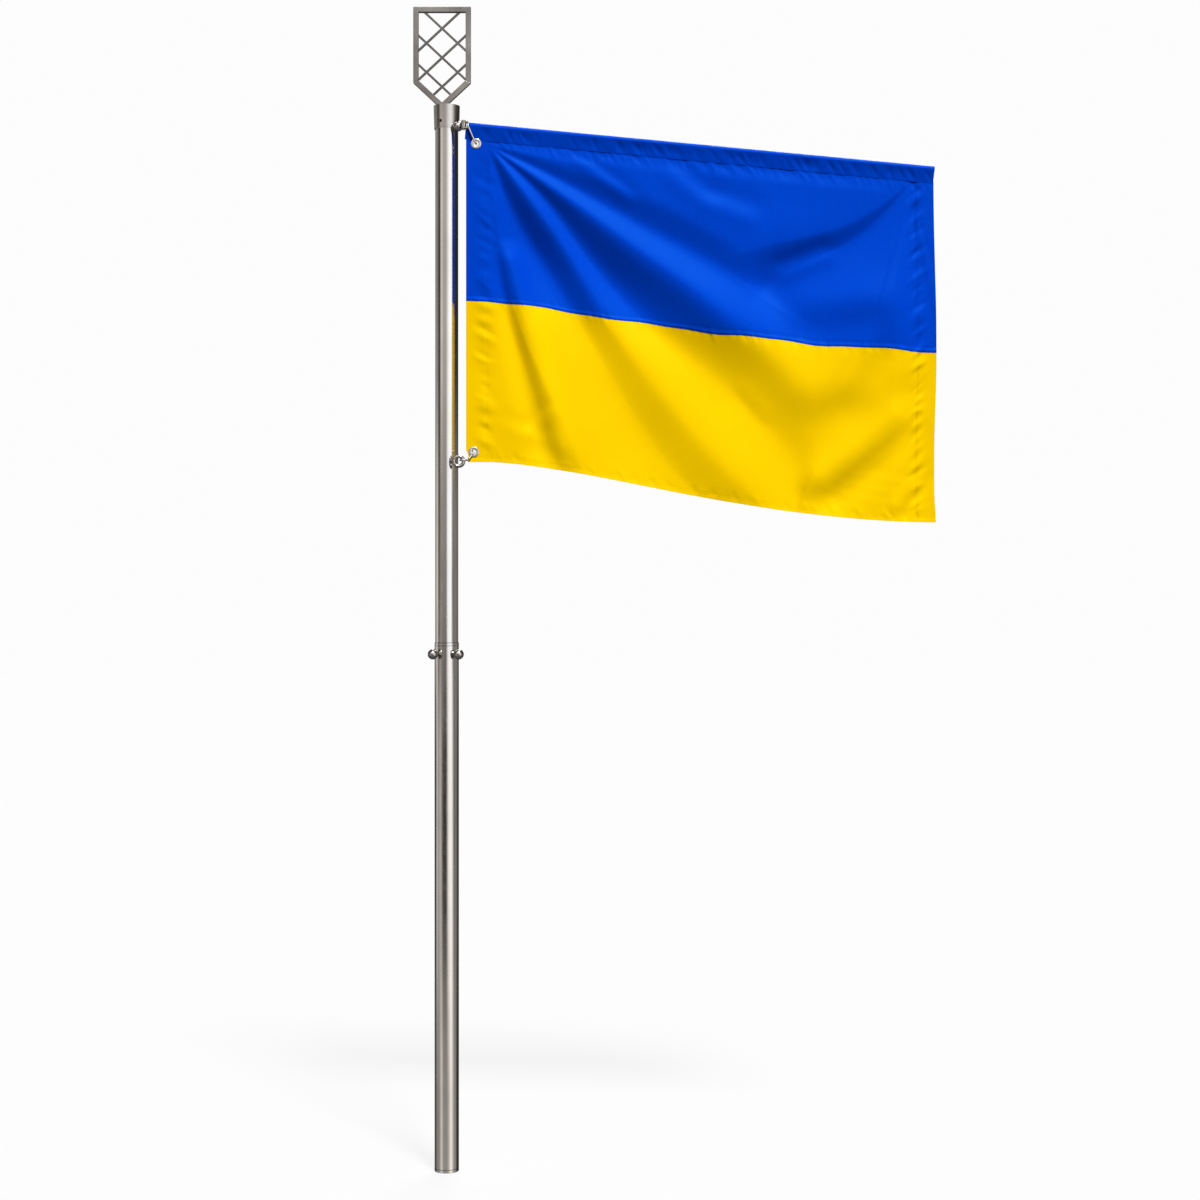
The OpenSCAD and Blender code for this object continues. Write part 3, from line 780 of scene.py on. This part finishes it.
# The casing's cloth, its half width where it is sewn flat, and where it starts: at the
# hoist below the crossbar, but clear of the fork round it
CASING_SKIN = 0.6 * MM
CASING_FLAT = 1.1 * MM
CASING_NOTCH = 13.6 * MM
NOTCH_DEPTH = 10.2 * MM


def casing_outlines():
    """Outer and inner outline of the casing, as (y, z) round the crossbar's axis."""
    r = ROD_R + 1.5 * MM
    lift = math.asin(r / POCKET_DROP)
    arc_turns = np.linspace(-lift, math.pi + lift, 30)
    arc = np.stack([r * np.cos(arc_turns), r * np.sin(arc_turns)], 1)
    low = np.array([0.0, -POCKET_DROP])
    down = np.linspace(0, 1, 15)[1:, None]
    tail = arc[-1] * (1 - down) + (low + [-CASING_FLAT, 0]) * down
    up = np.linspace(0, 1, 15)[:-1, None]
    lead = (low + [CASING_FLAT, 0]) * (1 - up) + arc[0] * up
    outer = np.concatenate([lead, arc, tail])
    inner = outer * (1 - CASING_SKIN / np.linalg.norm(outer, axis=1))[:, None]
    below = outer[:, 1] < 0
    inner[below, 0] = outer[below, 0] - np.sign(outer[below, 0]) * CASING_SKIN
    inner[below, 1] = outer[below, 1]
    return outer, inner


def casing_grid(outline):
    """Runs an outline along the drooping crossbar, gathered between rod and stitching."""
    y, z = outline[:, 0], outline[:, 1]
    reach = (FLY_X - AXIS_X) / math.cos(DROOP)
    begin = np.where(z > -NOTCH_DEPTH, CASING_NOTCH, HOIST_X - AXIS_X)[:, None]
    s = begin + (reach - begin) * np.linspace(0, 1, FLAG_COLUMNS + 1)[None, :]
    y = y[:, None] * np.ones_like(s)
    z = z[:, None] * np.ones_like(s)
    depth = -z / POCKET_DROP
    gather = np.sin(np.clip(depth, 0, 1) * math.pi) ** 1.3 * (z < 0)
    y = y + np.sign(y) * casing_ripple(s, depth) * gather * MM
    return np.stack([
        AXIS_X + s * math.cos(DROOP) + z * math.sin(DROOP),
        AXIS_Y + y,
        STUD_Z - s * math.sin(DROOP) + z * math.cos(DROOP),
    ], 2)


def casing():
    """The rolled upper edge: a sleeve round the crossbar, stitched flat below it."""
    outer, inner = (casing_grid(outline) for outline in casing_outlines())
    points, faces = shell(outer, inner, clear_of(outer, (TOP_GROMMET,)))
    return add_mesh("flag_casing", points, faces, "blue")


def casing_ripple(s, depth):
    """Small slanting gathers between the crossbar and the stitching, in mm."""
    rng = np.random.default_rng(21)
    total = np.zeros_like(s)
    for _ in range(120):
        at, wide = rng.uniform(0.04, 1.2), rng.uniform(0.004, 0.009)
        lean = rng.uniform(0.008, 0.028)
        total += rng.uniform(-1.7, 0.7) * np.exp(-(((s - at - lean * depth) / wide) ** 2))
    return total


# ---- Stitching ----


STITCH_PITCH = 3.4 * MM
STITCH_HALF, STITCH_WIDE, STITCH_HIGH = 1.25 * MM, 0.32 * MM, 0.28 * MM


def stitches(name, material, runs):
    """Short threads lying along sewn lines. Each run is (points, outward sign)."""
    points, faces = [], []
    for path, out in runs:
        lengths = run_lengths(path)
        count = max(2, int(lengths[-1] / STITCH_PITCH))
        centres = (np.arange(count) + 0.5) / count * lengths[-1]
        spots = [points_at(path, lengths, centres + k * STITCH_HALF) for k in (-1, 0, 1)]
        side = unit(np.cross(unit(spots[2] - spots[0]), np.array([0.0, 1.0, 0.0])))
        lift = np.array([0.0, out, 0.0])
        base = sum(len(p) for p in points)
        points.append(np.concatenate([
            spots[0], spots[1] + side * STITCH_WIDE, spots[1] + lift * STITCH_HIGH,
            spots[1] - side * STITCH_WIDE, spots[2], spots[1] - lift * STITCH_HIGH,
        ]))
        a, b, c, d, e, f = (np.arange(count) + base + i * count for i in range(6))
        for tri in ((a, b, c), (a, c, d), (a, d, f), (a, f, b), (e, c, b), (e, d, c), (e, f, d), (e, b, f)):
            faces.append(np.stack(tri if out < 0 else tri[::-1], 1))
    return add_mesh(name, np.concatenate(points), np.concatenate(faces), material)


def on_cloth(x, z, lift):
    """Points standing this many mm off the front of the cloth."""
    return np.stack([x, AXIS_Y - drape(x, z) - lift * MM, z], 1)


def hem_line(x, shares):
    """A sewn line down a hem, which bows with the fly edge."""
    xs = np.full(len(shares), x)
    z = row_z(xs, shares)
    line = on_cloth(xs, z, 0.55)
    line[:, 0] += bow_shift(xs, z)
    return line


def sew():
    count = 420
    shares_up, shares_low = np.linspace(0.01, 0.485, count), np.linspace(0.505, 0.995, count)
    hems = (HOIST_X + HOIST_SEWN * MM, FLY_X - FLY_SEWN * MM, FLY_X - FLY_SEWN_AGAIN * MM)
    blue = [(hem_line(x, shares_up), -1) for x in hems]
    yellow = [(hem_line(x, shares_low), -1) for x in hems]
    across = np.linspace(HOIST_X + 3 * MM, FLY_X - 3 * MM, count)
    blue.append((on_cloth(across, seam_z(across) + SEAM_SEWN * MM, -0.05), -1))
    yellow.append((on_cloth(across, row_z(across, np.ones(count)) + LOW_SEWN * MM, 0.6), -1))
    past_grommet = across > TOP_GROMMET.x + GROMMET_R
    for out in (-1, 1):
        y = np.full(count, AXIS_Y + out * 1.2 * MM)
        line = np.stack([across, y, pocket_z(across) + 2.4 * MM], 1)
        blue.append((line[past_grommet], out))
    return (
        stitches("flag_blue_stitching", "blue_thread", blue),
        stitches("flag_yellow_stitching", "yellow_thread", yellow),
    )


def make_flag():
    upper = band("flag_upper_cloth", 0.0, 0.5, "blue", TOP_GROMMET)
    lower = band("flag_lower_cloth", 0.5, 1.0, "yellow", LOW_GROMMET)
    sleeve = casing()
    blue_sewing, yellow_sewing = sew()
    place(upper, "flag_arm", "blue_cloth", "flag_upper_band", "flag_upper_hoist_hem")
    place(lower, "flag_arm", "yellow_cloth", "flag_lower_band", "flag_lower_hoist_hem")
    place(sleeve, "flag_arm", "blue_cloth", "flag_rod_pocket")
    place(blue_sewing, "flag_arm", "blue_cloth")
    place(yellow_sewing, "flag_arm", "yellow_cloth")


# ---- Hook and link ----


WIRE_R = 2.2 * MM
# How far a wire stands in front of and behind the cloth where it goes through a grommet
WIRE_OVER = 5.0 * MM
WIRE_FRONT, WIRE_BACK = AXIS_Y - WIRE_OVER, AXIS_Y + WIRE_OVER
LINK_LOOP_R = 8.95 * MM


def make_hook():
    """The bent wire from the fork's web through the top grommet."""
    web_x, web_y = AXIS_X + 11 * MM, AXIS_Y - 7.05 * MM
    g = TOP_GROMMET
    path = smooth_path([
        (web_x, web_y, STUD_Z),
        (web_x, web_y - WIRE_R - 4.5 * MM, STUD_Z),
        (g.x - 5 * MM, WIRE_FRONT - 0.3 * MM, g.z + 8 * MM),
        (g.x, WIRE_FRONT, g.z + 1 * MM),
        (g.x + 1 * MM, AXIS_Y, g.z - 1.5 * MM),
        (g.x - 1 * MM, WIRE_BACK, g.z + 1 * MM),
        (g.x - 8 * MM, WIRE_BACK, g.z + 8 * MM),
    ])
    hook = tube("top_snap_hook", path, WIRE_R, "nickel")
    place(hook, "flag_arm", "nickel_wire", "top_hook")


def make_link():
    """The wire ring round the swing axis and its tail through the lower grommet."""
    g = LOW_GROMMET
    link_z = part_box("lower_link")[0].z + WIRE_R
    loop = [
        (AXIS_X + LINK_LOOP_R * math.cos(t), AXIS_Y + LINK_LOOP_R * math.sin(t), link_z)
        for t in np.radians(np.arange(-30, 290, 8))[::-1]
    ]
    tail = [
        (AXIS_X + LINK_LOOP_R + 5 * MM, WIRE_FRONT - 2 * MM, link_z + 2 * MM),
        (g.x - 6 * MM, WIRE_FRONT, g.z - 8 * MM),
        (g.x, WIRE_FRONT, g.z - 1 * MM),
        (g.x + 0.5 * MM, AXIS_Y, g.z - 2 * MM),
        (g.x - 1 * MM, WIRE_BACK, g.z),
        (g.x - 6 * MM, WIRE_BACK, g.z + 6 * MM),
    ]
    link = tube("lower_link_wire", smooth_path(loop + tail, samples=156), WIRE_R, "nickel")
    place(link, "flag_arm", "nickel_wire", "lower_link")


# ---- Floor, world and lights ----

FILL_LIGHT = 0.14
FLOOR_R = 40.0
FLOOR_SIDES = 96
FLOOR_Z = -0.5 * MM
# The floor glows by itself and takes only a little light, so that its shadows stay faint
FLOOR_GREY = 0.07
FLOOR_GLOW = 0.84


def make_floor():
    turns = np.arange(FLOOR_SIDES) * 2 * math.pi / FLOOR_SIDES
    rim = [(FLOOR_R * math.cos(t), FLOOR_R * math.sin(t), FLOOR_Z) for t in turns]
    mesh = bpy.data.meshes.new("floor")
    mesh.from_pydata(rim, [], [tuple(range(FLOOR_SIDES))])
    floor = bpy.data.objects.new("floor", mesh)
    bpy.context.scene.collection.objects.link(floor)
    material = bpy.data.materials.new("pale_floor")
    material.use_nodes = True
    n = Nodes(material.node_tree)
    diffuse = n.add("BsdfDiffuse")
    diffuse.inputs[0].default_value = rgba(FLOOR_GREY)
    glow = n.add("Emission")
    glow.inputs[0].default_value = rgba(1.0)
    glow.inputs[1].default_value = FLOOR_GLOW
    both = n.add("AddShader")
    n.link(diffuse.outputs[0], both, 0)
    n.link(glow.outputs[0], both, 1)
    n.link(both.outputs[0], n.add("OutputMaterial"), 0)
    mesh.materials.append(material)
    floor.visible_glossy = False
    floor.visible_diffuse = False


# Brightness of the studio round the object by compass direction: 0 is the viewer's
# side, positive to the right, in degrees. The rows are what the steel mirrors at the
# pole's foot, along its lower half, at its middle and along its upper half.
STUDIO_FOOT = (
    (-180, 0.06), (-135, 0.08), (-112, 0.18), (-92, 0.32), (-68, 0.38), (-57, 0.62), (-47, 1.0),
    (-36, 0.62), (-26, 0.42), (6, 0.40), (20, 0.52), (32, 0.92), (43, 1.3), (53, 1.15),
    (64, 0.72), (76, 0.42), (102, 0.30), (113, 0.04), (180, 0.04),
)
STUDIO_LOW = (
    (-180, 0.04), (-128, 0.03), (-112, 0.38), (-97, 0.85), (-84, 0.42), (-70, 0.56), (-56, 0.66),
    (-45, 0.34), (-35, 0.10), (-26, 0.02), (-4, 0.01), (4, 0.2), (13, 0.72), (24, 1.35),
    (52, 1.42), (63, 0.72), (74, 0.28), (87, 0.18), (100, 0.30), (114, 0.16), (130, 0.06), (180, 0.05),
)
STUDIO_MIDDLE = (
    (-180, 0.2), (-138, 0.22), (-120, 0.75), (-100, 0.95), (-88, 0.2), (-72, 0.11), (-60, 0.30),
    (-40, 0.28), (-24, 0.36), (-6, 0.27), (2, 0.5), (12, 1.45), (40, 1.6), (48, 1.6), (57, 0.6),
    (66, 0.2), (80, 0.26), (110, 0.30), (126, 0.22), (150, 0.15), (180, 0.15),
)
STUDIO_HIGH = (
    (-180, 0.3), (-124, 0.36), (-105, 0.32), (-88, 0.14), (-76, 0.03), (-66, 0.1), (-54, 0.95),
    (-42, 0.78), (-28, 0.56), (-8, 0.54), (4, 0.76), (14, 1.1), (28, 1.55), (46, 1.62), (56, 1.3),
    (66, 0.8), (80, 0.15), (96, 0.03), (128, 0.02), (180, 0.1),
)
# A wide soft box overhead, which only balls, rings and top edges mirror
STUDIO_TOP = (
    (-180, 0.15), (-75, 0.12), (-52, 0.3), (-34, 2.0), (38, 2.0), (54, 0.3), (80, 0.12), (180, 0.15),
)
# What takes over from the foot's row, and between which two elevations, in degrees.
# The zenith and the ground below the floor are plain greys.
STUDIO_LAYERS = (
    (-12, -8, STUDIO_LOW),
    (-3.4, -0.8, STUDIO_MIDDLE),
    (2.4, 6, STUDIO_HIGH),
    (20, 27, STUDIO_TOP),
    (62, 72, 0.20),
    (-17, -26, 0.10),
)
STUDIO_STRENGTH = 2.0
# Dimmer than this the studio is a warm grey, brighter a cool white
WARM_BELOW = 0.7


def tinted(value):
    """The dimmer parts of the studio are a warm grey, the brighter ones a cool white."""
    shares = (1.06, 1, 0.94) if value < WARM_BELOW else (0.98, 1.01, 1.06)
    return tuple(value * share for share in shares)


def band_ramp(n, around, row):
    """Brightness by compass direction, at half strength so that no stop passes 1."""
    return n.ramp(around, [(a / 360 + 0.5, tinted(v / STUDIO_STRENGTH)) for a, v in row])


def between(n, height, start, end):
    """0 at one elevation, 1 at and past the other, in degrees."""
    stops = sorted((math.sin(math.radians(e)) / 2 + 0.5, v) for e, v in ((start, 0), (end, 1)))
    return n.ramp(height, stops, "EASE")


def make_world():
    world = bpy.data.worlds.new("studio")
    bpy.context.scene.world = world
    world.use_nodes = True
    n = Nodes(world.node_tree)
    axes = n.add("SeparateXYZ")
    n.link(n.add("TexCoord").outputs["Generated"], axes, 0)
    x, y, z = axes.outputs
    azimuth = n.math("ARCTAN2", x, n.math("MULTIPLY", y, -1.0))
    around = n.math("ADD", n.math("MULTIPLY", azimuth, 1 / (2 * math.pi)), 0.5)
    height = n.math("ADD", n.math("MULTIPLY", z, 0.5), 0.5)
    level = band_ramp(n, around, STUDIO_FOOT)
    for start, end, layer in STUDIO_LAYERS:
        shown = layer if isinstance(layer, float) else band_ramp(n, around, layer)
        level = n.mix(between(n, height, start, end), level, shown)
    studio = n.add("Background")
    n.link(level, studio, 0)
    studio.inputs[1].default_value = STUDIO_STRENGTH
    white = n.add("Background")
    white.inputs[0].default_value = rgba(0.98)
    white.inputs[1].default_value = 1.0
    fill = n.add("Background")
    fill.inputs[0].default_value = (1.0, 0.99, 0.98, 1)
    fill.inputs[1].default_value = FILL_LIGHT
    path = n.add("LightPath")
    soft = n.add("MixShader")
    n.link(path.outputs["Is Diffuse Ray"], soft, 0)
    n.link(studio.outputs[0], soft, 1)
    n.link(fill.outputs[0], soft, 2)
    choice = n.add("MixShader")
    n.link(path.outputs["Is Camera Ray"], choice, 0)
    n.link(soft.outputs[0], choice, 1)
    n.link(white.outputs[0], choice, 2)
    n.link(choice.outputs[0], n.add("OutputWorld"), 0)
    world.cycles.sampling_method = "NONE"


def sun(name, azimuth, elevation, strength, softness):
    """A distant soft light. Azimuth 0 is the viewer's side, positive to the right."""
    data = bpy.data.lights.new(name, "SUN")
    data.energy = strength
    data.angle = math.radians(softness)
    light = bpy.data.objects.new(name, data)
    bpy.context.scene.collection.objects.link(light)
    a, e = math.radians(azimuth), math.radians(elevation)
    towards = Vector((math.sin(a) * math.cos(e), -math.cos(a) * math.cos(e), math.sin(e)))
    light.rotation_euler = towards.to_track_quat("Z", "Y").to_euler()


def make_lights():
    sun("key", azimuth=22, elevation=54, strength=4.6, softness=12)
    sun("back", azimuth=170, elevation=50, strength=3.0, softness=30)


def set_look():
    scene = bpy.context.scene
    scene.view_settings.view_transform = "Standard"
    scene.view_settings.look = "None"
    scene.view_settings.exposure = 0
    scene.view_settings.gamma = 1


make_camera()
set_look()
make_world()
make_lights()
make_floor()
dress_cad_nodes()
make_flag()
make_hook()
make_link()
